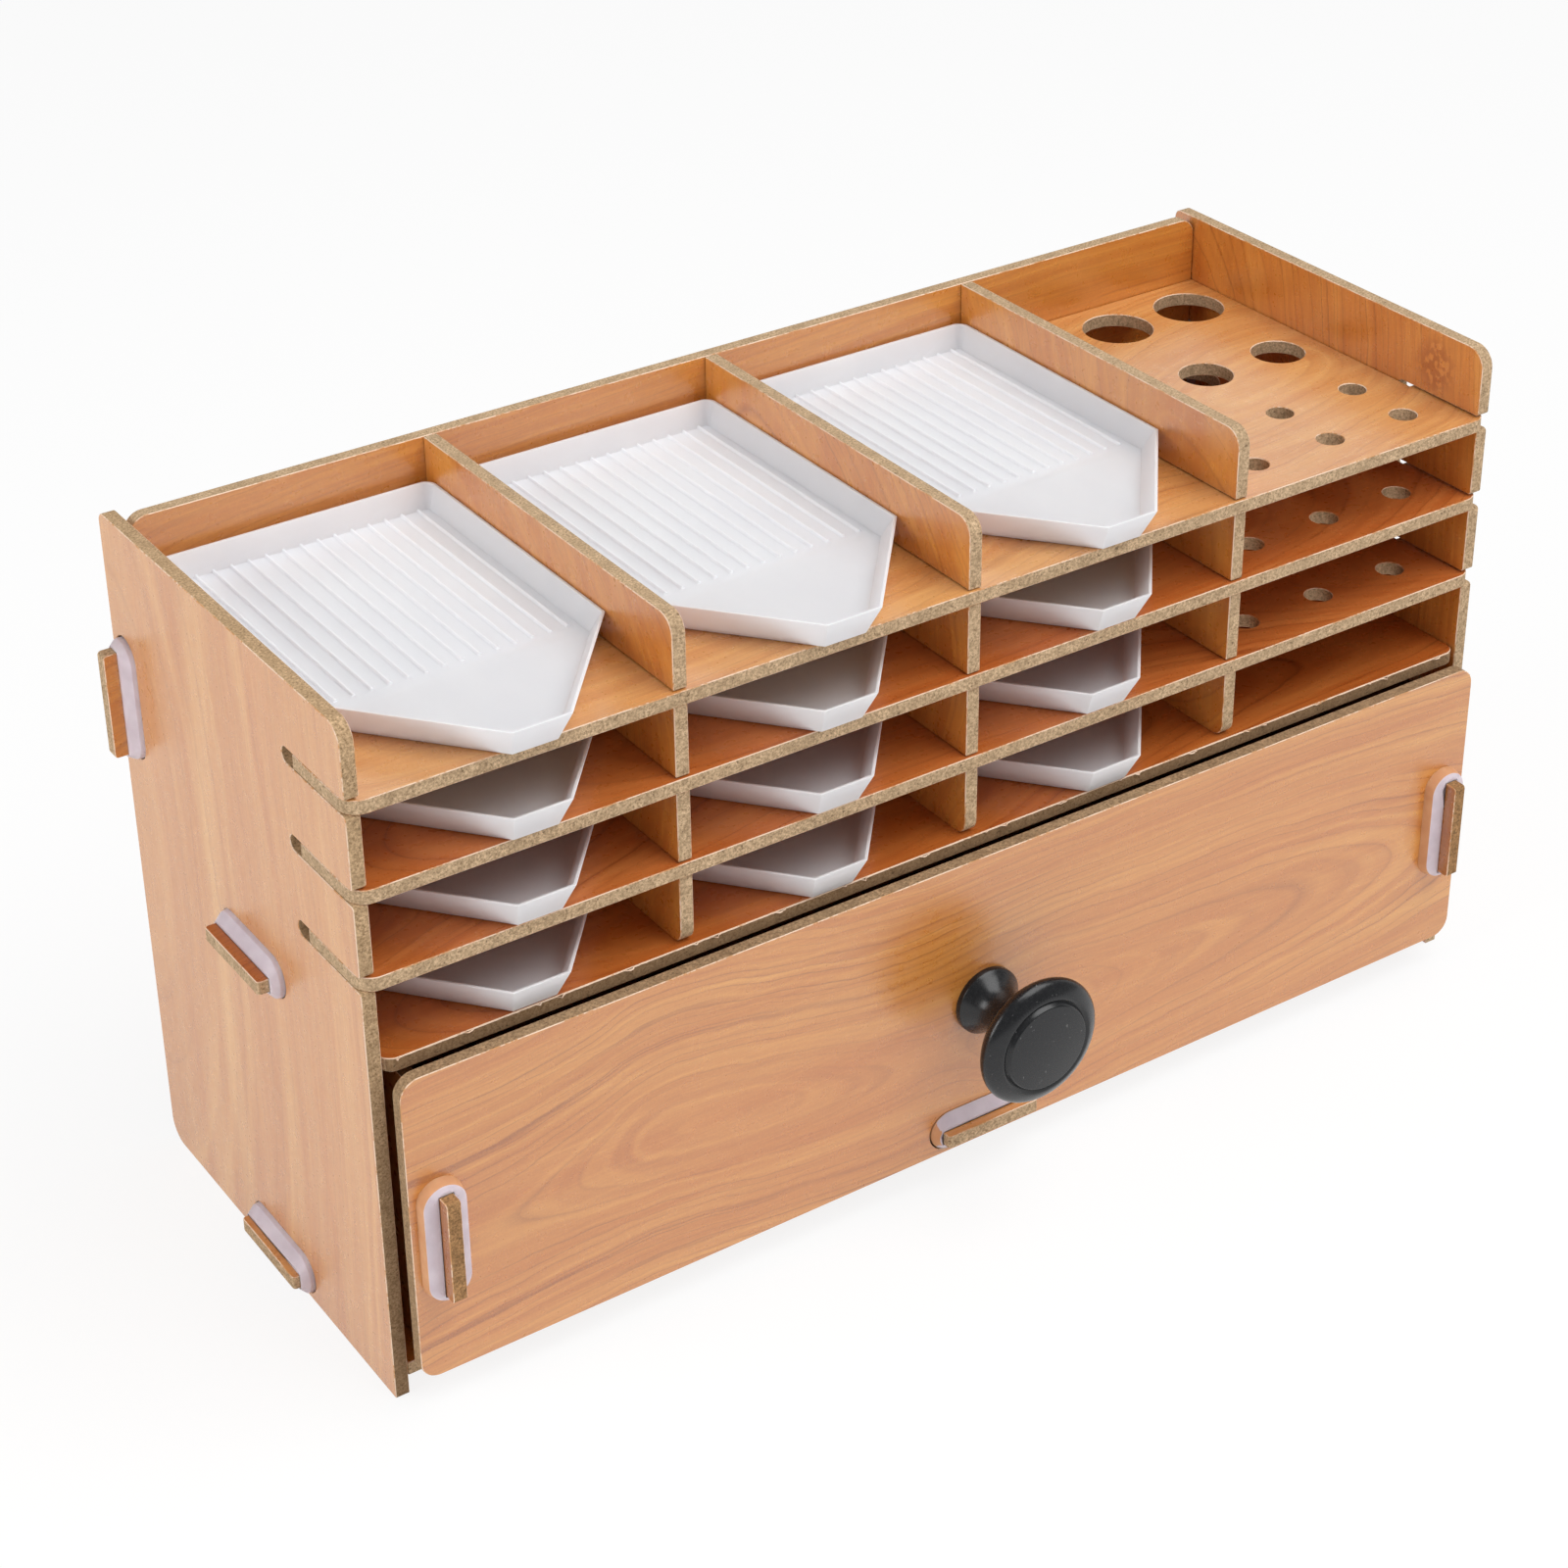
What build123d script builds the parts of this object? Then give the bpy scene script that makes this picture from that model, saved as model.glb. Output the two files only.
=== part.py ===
from build123d import *
import os

os.makedirs("parts", exist_ok=True)

# Case: flat boards of one sheet thickness
case_width = 273.0  # over the outer faces of the side panels
case_depth = 100.7
case_height = 150.0
board = 3.0
fit_gap = 0.2  # edge of a board to the board beside it
slot_gap = 0.4  # slot over the thickness of the board that lies in it
overrun = 1.0  # how far a cut runs past the face that it opens

# Levels and bays
roof_rise = 75.75  # floor to the underside of the drawer roof
top_clearance = 15.3  # top shelf to the tops of the side panels
shelf_count = 3
bay_count = 4

# Board edges and corners
panel_top_front_radius = 4.5
panel_top_back_radius = 2.0
panel_bottom_back_radius = 5.0
slot_mouth_radius = 0.8
slot_end_gap = 4.0  # shelf ear to the round end of its slot
shelf_overhang = 0.6  # shelves ahead of the side panels' front edges
ear_depth = 20.5
shelf_radius = 4.0
bottom_setback = 0.3
roof_radius = 3.0
back_radius = 4.0
divider_top_radius = 4.0
divider_foot_radius = 3.0

# Tabs that pass through the next board, and the soft rings that lock them
tab_length = 23.2
tab_corner_radius = 0.8
back_tab_drop = 39.2  # tops of the side panels to the middle of the tab
back_tab_reach = 5.2  # how far a tab stands out of the board that it passes through
roof_tab_reach = 4.8
bottom_tab_reach = 3.8
ring_side_wall = 2.95
ring_end_wall = 1.6
ring_side_crest = 0.8  # flat border of the ring beside the tab
ring_end_crest = 0.75
case_ring_proud = 2.4  # that border ahead of the board that the ring locks
case_ring_slope = 1.5  # rise of the ring's face from its outline to that border
drawer_ring_proud = 3.0
drawer_ring_slope = 0.7
floor_ring_proud = 2.0  # on the tabs of the drawer's floor, where the rings sit deeper
floor_ring_slope = 2.0
ring_gap = 0.1  # tab to ring
hole_side_gap = 0.1  # ring to the hole that holds it
hole_end_gap = 0.4
panel_hole_wall = 0.85  # hole to the edge of the side panel
drawer_hole_wall = 0.55  # hole to the lower edge of the drawer back
drawer_end_wall = 1.15  # hole to the side edge of the drawer back

# Holes for pens and tools in the last bay: as many across as fit, in rows from front to back
tool_margin = 11.45  # divider to the middle of the nearest column
tool_web = 4.0  # least board between two large holes
small_hole_diameter = 6.0
medium_hole_diameter = 12.0
large_hole_diameter = 16.0
tool_row_shares = [0.1145, 0.2828, 0.5409, 0.8667]  # of the depth of the shelf

# Drawer
drawer_pulled_out = 3.0  # back of the front board ahead of the side panels' front edges
drawer_slide_gap = 0.3  # under the sides, over the bottom panel
drawer_front_side_gap = 0.1
drawer_front_drop = 0.4  # lower edge of the front board under the sides
drawer_front_lap = 1.15  # how far the front board covers the edge of the roof, which stops it
drawer_front_radius = 4.2
drawer_head_gap = 4.45  # over the sides, under the roof
drawer_rear_gap = 10.0  # back board to the back panel
drawer_back_side_gap = 0.7
drawer_side_tab_reach = 5.9
drawer_bottom_tab_reach = 4.0

# Knob and its screw
knob_foot_diameter = 15.1
knob_foot_height = 1.3
knob_neck_diameter = 9.2
knob_neck_rise = 7.0
knob_head_diameter = 28.3
knob_height = 21.0
knob_rim_drop = 3.4  # face of the head to its widest part
knob_under_drop = 6.0  # face of the head to the edge of its underside
knob_under_inset = 1.9
knob_shoulder_drop = 0.6  # face of the head to the top of its rounded rim
knob_shoulder_inset = 3.1
knob_groove_inset = 0.3
knob_groove_width = 1.3
knob_groove_depth = 0.45
screw_diameter = 4.0
screw_bite = 8.0  # length of the screw inside the knob
screw_gap = 0.1  # screw to the walls of its holes, on the radius
screw_head_diameter = 8.0
screw_head_height = 2.4
screw_slot_width = 1.0
screw_slot_depth = 1.1

# Pouring trays
tray_side_gap = 1.85  # tray to the boards beside it
tray_back_gap = 1.3  # tray to the back panel
tray_overhang = 4.7  # spout ahead of the side panels' front edges
tray_slide_gap = 0.2
tray_height = 6.5
tray_wall = 0.65
tray_floor = 1.0
tray_side_draft = 1.2  # how far the side and back walls lean out from foot to rim
tray_front_draft = 3.2  # the same for the spout and the two walls that lead to it
tray_spout_width = 12.4
tray_taper_length = 28.9
tray_corner_radius = 2.6
ridge_count = 15
ridge_margin = 2.1  # side wall to the middle of the nearest ridge
ridge_width = 1.0
ridge_crest = 0.4
ridge_height = 0.5
ridge_setback = 36.4  # spout to the front ends of the ridges

# Where each tray stands in its bay, as shares of its gaps at the side and at the back,
# by level from the top shelf down and by bay from the left
tray_side_shares = [[0.88, 0.88, 0.8], [0.88, 0.65, 0.75], [0.88, 0.45, -0.3], [-0.15, -0.4, 0.2]]
tray_depth_shares = [[-0.8, -0.55, 0.2], [0.25, -0.1, 0.5], [0.55, 0.5, 0.55], [0.75, 0.45, 0.4]]

# Sizes and places that follow from the values above
inner_width = case_width - 2 * board
bay_width = (inner_width - (bay_count - 1) * board) / bay_count
bay_pitch = bay_width + board
bay_places = [(i - (bay_count - 1) / 2) * bay_pitch for i in range(bay_count)]
divider_places = [(i - (bay_count - 2) / 2) * bay_pitch for i in range(bay_count - 1)]
ring_length = tab_length + 2 * (ring_gap + ring_end_wall)
ring_width = board + 2 * (ring_gap + ring_side_wall)
crest_length = tab_length + 2 * (ring_gap + ring_end_crest)
crest_width = board + 2 * (ring_gap + ring_side_crest)
hole_half = ring_width / 2 + hole_side_gap
back_face = case_depth - panel_hole_wall - hole_half - board / 2  # front of the back panel
lap_setback = back_face / 2
board_slot = board + slot_gap
bottom_rise = panel_hole_wall + hole_half - board / 2
bottom_top = bottom_rise + board
roof_top = roof_rise + board
shelf_pitch = (case_height - top_clearance - board - roof_rise) / shelf_count
shelf_rises = [roof_rise + (i + 1) * shelf_pitch for i in range(shelf_count)]
back_tab_rise = case_height - back_tab_drop
drawer_rise = bottom_top + drawer_slide_gap
drawer_front_top = roof_rise + drawer_front_lap
drawer_side_top = roof_rise - drawer_head_gap
drawer_side_middle = (drawer_rise + drawer_side_top) / 2
drawer_bottom_rise = drawer_rise + drawer_hole_wall + hole_half - board / 2
drawer_bottom_middle = drawer_bottom_rise + board / 2
drawer_front_back = -drawer_pulled_out  # back of the front board
drawer_back_front = back_face - drawer_rear_gap - board  # front of the back board
drawer_front_half = inner_width / 2 - drawer_front_side_gap
drawer_back_half = inner_width / 2 - drawer_back_side_gap
drawer_side_place = drawer_back_half - drawer_end_wall - hole_half
knob_rise = (drawer_rise + drawer_front_top) / 2
tray_width = bay_width - 2 * tray_side_gap
tray_length = back_face + tray_overhang - tray_back_gap
foremost = drawer_front_back - board - knob_height
part_middle = (foremost + case_depth) / 2


def save(node, solid):
    """Writes one piece, with the origin under the middle of the whole part."""
    export_step(Pos(0, -part_middle, 0) * solid, f"parts/{node}.step")


def sheet(left, low, right, high):
    """A rectangle between two opposite corners."""
    middle = Pos((left + right) / 2, (low + high) / 2)
    return middle * Rectangle(right - left, high - low)


def round_corner(outline, at, radius):
    """Rounds the corner of a flat outline that lies nearest to a point."""
    corner = outline.vertices().sort_by_distance((at[0], at[1], 0))[0]
    return fillet(corner, radius)


def rounded_sheet(left, low, right, high, radius):
    """A rectangle with four equal round corners."""
    outline = sheet(left, low, right, high)
    for across in (left, right):
        for along in (low, high):
            outline = round_corner(outline, (across, along), radius)
    return outline


def tongue(first, last, middle):
    """A strip along the first axis, one tab wide, whose rounded ends are a pair of tabs."""
    half = tab_length / 2
    return rounded_sheet(first, middle - half, last, middle + half, tab_corner_radius)


def ring_hole():
    """The stadium hole that a tab and its ring share."""
    return SlotOverall(ring_length + 2 * hole_end_gap, 2 * hole_half)


def soft_ring(at, along, outward, proud, slope):
    """A soft stadium ring from the inner face of the board that it locks, rising towards its tab."""
    top = board + proud
    outline = SlotOverall(ring_length, ring_width)
    crest = Plane.XY.offset(top) * SlotOverall(crest_length, crest_width)
    ring = extrude(outline, top - slope)
    ring += loft([Plane.XY.offset(top - slope) * outline, crest], ruled=True)
    ring -= extrude(Rectangle(tab_length + 2 * ring_gap, board + 2 * ring_gap), top)
    return Plane(origin=at, x_dir=along, z_dir=outward) * ring


def side_panel(sign):
    """An upright side panel: rounded corners, slots for the shelf ears, holes for the tabs."""
    outline = sheet(0, 0, case_depth, case_height)
    outline = round_corner(outline, (0, case_height), panel_top_front_radius)
    outline = round_corner(outline, (case_depth, case_height), panel_top_back_radius)
    outline = round_corner(outline, (case_depth, 0), panel_bottom_back_radius)
    slot_end = ear_depth + slot_end_gap - board_slot / 2
    for rise in shelf_rises:
        outline -= sheet(-overrun, rise, slot_end, rise + board_slot)
        outline -= Pos(slot_end, rise + board_slot / 2) * Circle(board_slot / 2)
    for rise in shelf_rises:
        for mouth in (rise, rise + board_slot):
            outline = round_corner(outline, (0, mouth), slot_mouth_radius)
    for rise in (bottom_rise, roof_rise):
        outline -= Pos(lap_setback, rise + board / 2) * ring_hole()
    outline -= Pos(back_face + board / 2, back_tab_rise) * Rot(0, 0, 90) * ring_hole()
    inner_face = sign * inner_width / 2
    return extrude(Plane.YZ.offset(min(inner_face, inner_face + sign * board)) * outline, board)


def shelf(rise):
    """A shelf: ears at the front that lie in the panel slots, slots at the back for dividers."""
    ear_half = case_width / 2 - fit_gap
    body_half = inner_width / 2 - fit_gap
    back = back_face - fit_gap
    outline = sheet(-ear_half, -shelf_overhang, ear_half, ear_depth)
    outline += sheet(-body_half, -shelf_overhang, body_half, back)
    for side in (-1, 1):
        outline = round_corner(outline, (side * ear_half, -shelf_overhang), shelf_radius)
    for place in divider_places:
        half = board_slot / 2
        outline -= sheet(place - half, lap_setback, place + half, back + overrun)
    tool_span = bay_width - 2 * tool_margin
    tool_steps = int(tool_span / (large_hole_diameter + tool_web))
    diameters = [small_hole_diameter, small_hole_diameter, medium_hole_diameter, large_hole_diameter]
    for row_share, diameter in zip(tool_row_shares, diameters):
        for column in range(tool_steps + 1):
            across = bay_places[-1] + (column / tool_steps - 1 / 2) * tool_span
            outline -= Pos(across, row_share * back_face) * Circle(diameter / 2)
    return extrude(Plane.XY.offset(rise) * outline, board)


def divider(place):
    """An upright divider: it stands on the drawer roof and laps the shelves from behind."""
    back = back_face - fit_gap
    outline = sheet(0, roof_top, back, case_height)
    outline = round_corner(outline, (0, case_height), divider_top_radius)
    outline = round_corner(outline, (0, roof_top), divider_foot_radius)
    for rise in shelf_rises:
        low = rise - slot_gap / 2
        outline -= sheet(-overrun, low, lap_setback + fit_gap, low + board_slot)
    return extrude(Plane.YZ.offset(place - board / 2) * outline, board)


def level_board(outline, rise, reach):
    """A level board between the side panels, with one tab through each of them."""
    tip = case_width / 2 + reach
    outline += tongue(-tip, tip, lap_setback)
    return extrude(Plane.XY.offset(rise) * outline, board)


def bottom_panel():
    """The lowest board, which carries the drawer and the back panel."""
    half = inner_width / 2 - fit_gap
    outline = sheet(-half, bottom_setback, half, back_face + board)
    return level_board(outline, bottom_rise, bottom_tab_reach)


def drawer_roof():
    """The board over the drawer, rounded at its two front corners."""
    half = inner_width / 2 - fit_gap
    outline = sheet(-half, -shelf_overhang, half, back_face - fit_gap)
    for side in (-half, half):
        outline = round_corner(outline, (side, -shelf_overhang), roof_radius)
    return level_board(outline, roof_rise, roof_tab_reach)


def back_panel():
    """The back board: it stands on the bottom panel, with one tab through each side panel."""
    half = inner_width / 2 - fit_gap
    tip = case_width / 2 + back_tab_reach
    outline = sheet(-half, bottom_top, half, case_height)
    for side in (-half, half):
        outline = round_corner(outline, (side, case_height), back_radius)
    outline += tongue(-tip, tip, back_tab_rise)
    return extrude(Plane.XZ.offset(-back_face - board) * outline, board)


def drawer_end(outline, face):
    """A drawer board that stands across, with holes for the tabs of the sides and the bottom."""
    for place in (-drawer_side_place, drawer_side_place):
        outline -= Pos(place, drawer_side_middle) * Rot(0, 0, 90) * ring_hole()
    outline -= Pos(0, drawer_bottom_middle) * ring_hole()
    return extrude(Plane.XZ.offset(-face - board) * outline, board)


def drawer_front():
    """The front board of the drawer, drilled for the knob's screw."""
    low = drawer_rise - drawer_front_drop
    half = drawer_front_half
    outline = rounded_sheet(-half, low, half, drawer_front_top, drawer_front_radius)
    front = drawer_end(outline, drawer_front_back - board)
    drill = Pos(0, knob_rise) * Circle(screw_diameter / 2 + screw_gap)
    return front - extrude(Plane.XZ.offset(-drawer_front_back) * drill, board)


def drawer_back():
    """The back board of the drawer, as high as its sides."""
    outline = sheet(-drawer_back_half, drawer_rise, drawer_back_half, drawer_side_top)
    return drawer_end(outline, drawer_back_front)


def drawer_tongue(middle, reach):
    """A strip from front to back whose ends are a pair of tabs, rounded where they are seen."""
    half = tab_length / 2
    front_tip = drawer_front_back - board - reach
    back_tip = drawer_back_front + board + reach
    outline = sheet(front_tip, middle - half, back_tip, middle + half)
    for side in (middle - half, middle + half):
        outline = round_corner(outline, (front_tip, side), tab_corner_radius)
    return outline


def drawer_side(place):
    """A drawer side board, with a tab through the front and the back."""
    outline = sheet(drawer_front_back, drawer_rise, drawer_back_front, drawer_side_top)
    outline += drawer_tongue(drawer_side_middle, drawer_side_tab_reach)
    return extrude(Plane.YZ.offset(place - board / 2) * outline, board)


def drawer_bottom():
    """The drawer's floor board between its sides, with a tab through the front and the back."""
    half = drawer_side_place - board / 2 - fit_gap
    outline = sheet(drawer_front_back, -half, drawer_back_front, half)
    outline += drawer_tongue(0, drawer_bottom_tab_reach)
    lengthwise = Plane(origin=(0, 0, drawer_bottom_rise), x_dir=(0, 1, 0), z_dir=(0, 0, 1))
    return extrude(lengthwise * outline, board)


def knob_place():
    """The middle of the knob's foot on the drawer front, facing forwards."""
    return Pos(0, drawer_front_back - board, knob_rise) * Rot(90, 0, 0)


def knob():
    """A turned mushroom knob: spreading foot, waisted neck, rounded head with a grooved face."""
    foot = (knob_foot_diameter / 2, knob_foot_height)
    waist = (knob_neck_diameter / 2, knob_neck_rise)
    rim = (knob_head_diameter / 2, knob_height - knob_rim_drop)
    under = (rim[0] - knob_under_inset, knob_height - knob_under_drop)
    shoulder = (rim[0] - knob_shoulder_inset, knob_height - knob_shoulder_drop)
    groove_outer = shoulder[0] - knob_groove_inset
    groove_inner = groove_outer - knob_groove_width
    groove_root = ((groove_outer + groove_inner) / 2, shoulder[1] - knob_groove_depth)
    neck = Spline(foot, waist, under)
    lip = Spline(under, rim, shoulder)
    face = Polyline(shoulder, (groove_outer, shoulder[1]), groove_root, (groove_inner, knob_height),
                    (0, knob_height), (0, 0), (foot[0], 0), foot)
    turned = revolve(Plane.XZ * make_face(neck + lip + face), Axis.Z)
    turned -= extrude(Circle(screw_diameter / 2 + screw_gap), screw_bite + screw_gap)
    return knob_place() * turned


def knob_screw():
    """The slotted screw that holds the knob from inside the drawer."""
    shank = extrude(Plane.XY.offset(-board) * Circle(screw_diameter / 2), board + screw_bite)
    head = extrude(Plane.XY.offset(-board) * Circle(screw_head_diameter / 2), -screw_head_height)
    groove = Rectangle(screw_head_diameter + overrun, screw_slot_width)
    head -= extrude(Plane.XY.offset(-board - screw_head_height) * groove, screw_slot_depth)
    return knob_place() * (shank + head)


def tray_section(share, wall):
    """The outline of a tray at a share of its height, drawn in by a wall; the spout's rim is at 0."""
    side_inset = tray_side_draft * (1 - share) + wall
    front_inset = tray_front_draft * (1 - share) + wall
    half = tray_width / 2 - side_inset
    back = tray_length - side_inset
    slope = (tray_width - tray_spout_width) / 2 / tray_taper_length
    drawn_in = front_inset * (1 + slope**2) ** 0.5
    spout = tray_spout_width / 2 + front_inset * slope - drawn_in
    shoulder = (half - tray_spout_width / 2 + drawn_in) / slope
    outline = make_face(Polyline((-half, back), (half, back), (half, shoulder), (spout, front_inset),
                                 (-spout, front_inset), (-half, shoulder), (-half, back)))
    corner_radius = max(tray_corner_radius - side_inset, tray_wall / 2)
    for side in (-1, 1):
        outline = round_corner(outline, (side * half, back), corner_radius)
    return Plane.XY.offset(share * tray_height) * outline


def tray():
    """A thin moulded tray with a pouring spout and fine ridges along its floor."""
    floor_share = tray_floor / tray_height
    open_share = 1 + overrun / tray_height
    moulded = loft([tray_section(0, 0), tray_section(1, 0)], ruled=True)
    moulded -= loft([tray_section(floor_share, tray_wall), tray_section(open_share, tray_wall)], ruled=True)
    foot = tray_side_draft + tray_wall
    back = tray_length - foot + tray_wall / 2
    root = tray_floor / 2
    crest = tray_floor + ridge_height
    profile = make_face(Polyline((-ridge_width / 2, root), (ridge_width / 2, root),
                                 (ridge_width / 2, tray_floor), (ridge_crest / 2, crest),
                                 (-ridge_crest / 2, crest), (-ridge_width / 2, tray_floor),
                                 (-ridge_width / 2, root)))
    ridge = extrude(Plane.XZ.offset(-back) * profile, back - ridge_setback)
    pitch = (tray_width - 2 * (foot + ridge_margin)) / (ridge_count - 1)
    return moulded + [Pos((i - (ridge_count - 1) / 2) * pitch, 0, 0) * ridge for i in range(ridge_count)]


def tray_place(level, bay):
    """The middle of the spout's rim of one tray, over the board that it stands on."""
    seats = [roof_top] + [rise + board for rise in shelf_rises]
    across = bay_places[bay] + tray_side_shares[level][bay] * tray_side_gap
    along = -tray_overhang + tray_depth_shares[level][bay] * tray_back_gap
    return Pos(across, along, seats[-1 - level] + tray_slide_gap)


# Case boards
save("left_side_panel", side_panel(-1))
save("right_side_panel", side_panel(1))
save("bottom_panel", bottom_panel())
save("drawer_roof", drawer_roof())
save("back_panel", back_panel())
for name, rise in zip(["lower_shelf", "middle_shelf", "top_shelf"], shelf_rises):
    save(name, shelf(rise))
for name, place in zip(["left_divider", "middle_divider", "right_divider"], divider_places):
    save(name, divider(place))

# Rings on the tabs that pass through the side panels
for name, sign in (("left", -1), ("right", 1)):
    inner_face = sign * inner_width / 2
    outward = (sign, 0, 0)
    roof_tab = (inner_face, lap_setback, roof_rise + board / 2)
    bottom_tab = (inner_face, lap_setback, bottom_rise + board / 2)
    back_tab = (inner_face, back_face + board / 2, back_tab_rise)
    rise = (case_ring_proud, case_ring_slope)
    save(f"ring_roof_{name}", soft_ring(roof_tab, (0, 1, 0), outward, *rise))
    save(f"ring_bottom_{name}", soft_ring(bottom_tab, (0, 1, 0), outward, *rise))
    save(f"ring_back_{name}", soft_ring(back_tab, (0, 0, 1), outward, *rise))

# Drawer boards, knob and rings
save("drawer_front", drawer_front())
save("drawer_back", drawer_back())
save("drawer_left_side", drawer_side(-drawer_side_place))
save("drawer_right_side", drawer_side(drawer_side_place))
save("drawer_bottom", drawer_bottom())
save("drawer_knob", knob())
save("knob_screw", knob_screw())
for end, face, sign in (("front", drawer_front_back, -1), ("back", drawer_back_front, 1)):
    outward = (0, sign, 0)
    for name, place in (("left", -drawer_side_place), ("right", drawer_side_place)):
        side_tab = (place, face, drawer_side_middle)
        rise = (drawer_ring_proud, drawer_ring_slope)
        save(f"ring_drawer_{end}_{name}", soft_ring(side_tab, (0, 0, 1), outward, *rise))
    floor_tab = (0, face, drawer_bottom_middle)
    rise = (floor_ring_proud, floor_ring_slope)
    save(f"ring_drawer_{end}_middle", soft_ring(floor_tab, (1, 0, 0), outward, *rise))

# Trays, by level from the top shelf down
one_tray = tray()
for level, level_name in enumerate(["top", "second", "third", "fourth"]):
    for bay, bay_name in enumerate(["left", "middle", "right"]):
        save(f"tray_{level_name}_{bay_name}", tray_place(level, bay) * one_tray)
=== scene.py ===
import math

import bpy
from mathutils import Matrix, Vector


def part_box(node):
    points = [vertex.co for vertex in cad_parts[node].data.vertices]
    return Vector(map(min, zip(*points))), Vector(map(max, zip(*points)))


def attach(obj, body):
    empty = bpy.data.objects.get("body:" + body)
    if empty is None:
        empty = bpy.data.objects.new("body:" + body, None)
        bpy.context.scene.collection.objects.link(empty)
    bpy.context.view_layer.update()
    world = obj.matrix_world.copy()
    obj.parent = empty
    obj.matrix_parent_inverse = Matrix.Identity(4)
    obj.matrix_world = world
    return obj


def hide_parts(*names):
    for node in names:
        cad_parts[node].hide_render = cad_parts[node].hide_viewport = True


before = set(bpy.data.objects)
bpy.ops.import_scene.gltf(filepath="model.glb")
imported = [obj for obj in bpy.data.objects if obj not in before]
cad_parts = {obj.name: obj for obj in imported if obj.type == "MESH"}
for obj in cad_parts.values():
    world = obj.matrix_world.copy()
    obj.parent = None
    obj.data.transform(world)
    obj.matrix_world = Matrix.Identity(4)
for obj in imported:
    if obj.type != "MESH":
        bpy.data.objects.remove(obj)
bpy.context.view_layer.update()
scene = bpy.context.scene
scene.view_settings.view_transform = "Standard"

# Side panels. Two upright sheets of 3 mm fibreboard with printed wood paper on both faces, cut on a
# router. The grain of the paper runs upwards. Slots in their front edges take the shelves, and
# stadium holes take the tabs of the roof, the bottom and the back.


def node(tree, kind, inputs, **settings):
    """A shader node whose inputs are plain values or the outputs of other nodes."""
    made = tree.nodes.new(kind)
    for key, value in settings.items():
        setattr(made, key, value)
    for key, value in inputs.items():
        if isinstance(value, bpy.types.NodeSocket):
            tree.links.new(value, made.inputs[key])
        else:
            made.inputs[key].default_value = value
    return made


def sum_of(tree, operation, *values):
    """The result of one step of arithmetic."""
    return node(tree, "ShaderNodeMath", dict(enumerate(values)), operation=operation).outputs[0]


def blend(tree, share, first, second):
    """A colour between two colours."""
    inputs = {0: share, 6: first, 7: second}
    return node(tree, "ShaderNodeMix", inputs, data_type="RGBA").outputs[2]


def between(tree, value, low, high, bottom, top):
    """A value brought from one range to another and held inside it."""
    inputs = {0: value, 1: low, 2: high, 3: bottom, 4: top}
    return node(tree, "ShaderNodeMapRange", inputs).outputs[0]


def clouds(tree, place, stretch, detail=2.0, roughness=0.5):
    """Soft noise, with its number of cells in a millimetre along each axis."""
    scaled = node(tree, "ShaderNodeVectorMath", {0: place, 1: stretch}, operation="MULTIPLY").outputs[0]
    inputs = {"Vector": scaled, "Scale": 1.0, "Detail": detail, "Roughness": roughness}
    return node(tree, "ShaderNodeTexNoise", inputs).outputs[0]


def curve(tree, value, points):
    """A smooth curve through points between 0 and 1."""
    made = node(tree, "ShaderNodeFloatCurve", {1: value})
    line = made.mapping.curves[0].points
    line[0].location = points[0]
    line[1].location = points[-1]
    for point in points[1:-1]:
        line.new(*point)
    made.mapping.update()
    return made.outputs[0]


def joined(tree, x, y, z):
    """A place from its three coordinates."""
    return node(tree, "ShaderNodeCombineXYZ", {0: x, 1: y, 2: z}).outputs[0]


def new_material(name):
    """An empty node material and its surface shader."""
    made = bpy.data.materials.new(name)
    made.use_nodes = True
    return made, made.node_tree, made.node_tree.nodes["Principled BSDF"]


def millimetres(tree):
    """Object coordinates in millimetres."""
    place = tree.nodes.new("ShaderNodeTexCoord").outputs["Object"]
    inputs = {0: place, 1: (1000.0, 1000.0, 1000.0)}
    return node(tree, "ShaderNodeVectorMath", inputs, operation="MULTIPLY").outputs[0]


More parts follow.
